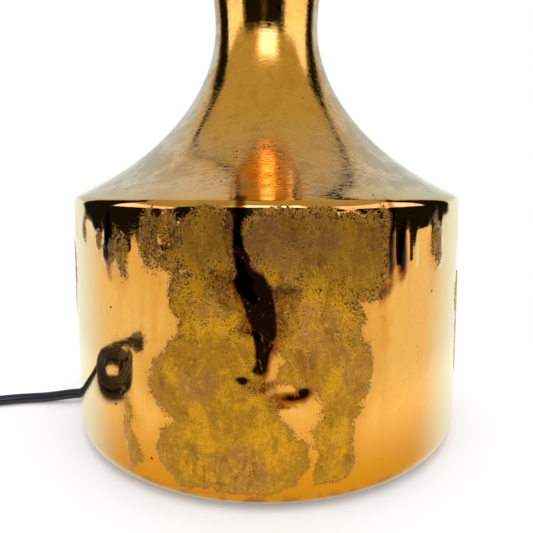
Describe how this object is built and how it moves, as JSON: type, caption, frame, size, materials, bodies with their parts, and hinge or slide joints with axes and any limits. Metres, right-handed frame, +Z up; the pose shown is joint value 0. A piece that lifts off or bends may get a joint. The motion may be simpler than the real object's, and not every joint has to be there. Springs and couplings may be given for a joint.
{
  "type": "table lamp",
  "caption": "Ceramic table lamp base with a mirror-gold lava glaze, brass lampholder with turn switch, bulb and mains lead.",
  "frame": {"origin": "on the table under the felt pad, on the lamp's axis", "axes": "+Z up along the lamp's axis; -Y is the front; the mains lead leaves low on the -X side"},
  "size_m": [0.4247, 0.3155, 0.4481],
  "materials": {
    "lustre_glaze": "mirror gold lustre glaze with matt lava patches",
    "hardboard": "matt pressed board",
    "felt": "wool felt",
    "black_rubber": "satin",
    "lead_sheath": "satin PVC sheath",
    "core_insulation": "gloss",
    "zinc_steel": "zinc plated",
    "cork": "pressed cork",
    "brass": "lacquered, satin",
    "spring_bronze": "bright",
    "porcelain": "unglazed, satin",
    "liner_card": "waxed card",
    "ivory_plastic": "moulded",
    "lamp_glass": "clear",
    "cap_aluminium": "bright rolled",
    "vitrite": "black glass",
    "solder": "dull",
    "tungsten": "drawn",
    "plug_plastic": "fine moulded texture",
    "nickel_pin": "nickel plated"
  },
  "bodies": {
    "lamp": {"ceramic_body": "lustre_glaze", "base_board": "hardboard", "felt_pad": "felt", "cable_bush": "black_rubber", "inner_lead": "lead_sheath", "lead_cores": "core_insulation", "threaded_rod": "zinc_steel", "clamp_bar": "zinc_steel", "bar_washer": "zinc_steel", "bar_nut": "zinc_steel", "lip_gasket": "cork", "vase_cap": "brass", "check_ring": "brass", "rod_locknut": "zinc_steel", "neck_spacer": "brass", "holder_lower_cap": "brass", "holder_grub_screw": "zinc_steel", "cord_grip": "ivory_plastic", "holder_shell": "brass", "holder_liner": "liner_card", "porcelain_insert": "porcelain", "screw_shell": "spring_bronze", "centre_contact": "spring_bronze", "side_contact": "spring_bronze", "terminal_screws": "zinc_steel", "terminal_blocks": "spring_bronze", "switch_spring": "spring_bronze", "shade_ring_lower": "brass", "shade_ring_upper": "brass", "lead_run": "lead_sheath", "lead_coil": "lead_sheath", "coil_tie": "black_rubber", "lead_tail": "lead_sheath", "plug_body": "plug_plastic", "plug_pins": "nickel_pin", "plug_relief": "plug_plastic"},
    "switch": {"switch_key": "brass", "switch_shaft": "zinc_steel", "switch_cam": "ivory_plastic"},
    "bulb_carrier": {"bulb_base_contact": "solder"},
    "bulb": {"bulb_glass": "lamp_glass", "bulb_cap": "cap_aluminium", "bulb_insulator": "vitrite", "bulb_stem": "lamp_glass", "bulb_wires": "zinc_steel", "bulb_filament": "tungsten"}
  },
  "joints": [
    {"name": "switch_turn", "type": "hinge", "parent": "lamp", "child": "switch", "pos_m": [0.012, 0, 0.32], "axis": [1, 0, 0], "continuous": true},
    {"name": "bulb_rise", "type": "slide", "parent": "lamp", "child": "bulb_carrier", "axis": [0, 0, 1], "range_m": [0, 0.01452]},
    {"name": "bulb_turn", "type": "hinge", "parent": "bulb_carrier", "child": "bulb", "pos_m": [0, 0, 0.363], "axis": [0, 0, 1], "range_deg": [0, 1440]}
  ],
  "couplings": [
    {"joint": "bulb_rise", "follows": "bulb_turn", "m_per_rad": 0.00057754}
  ]
}
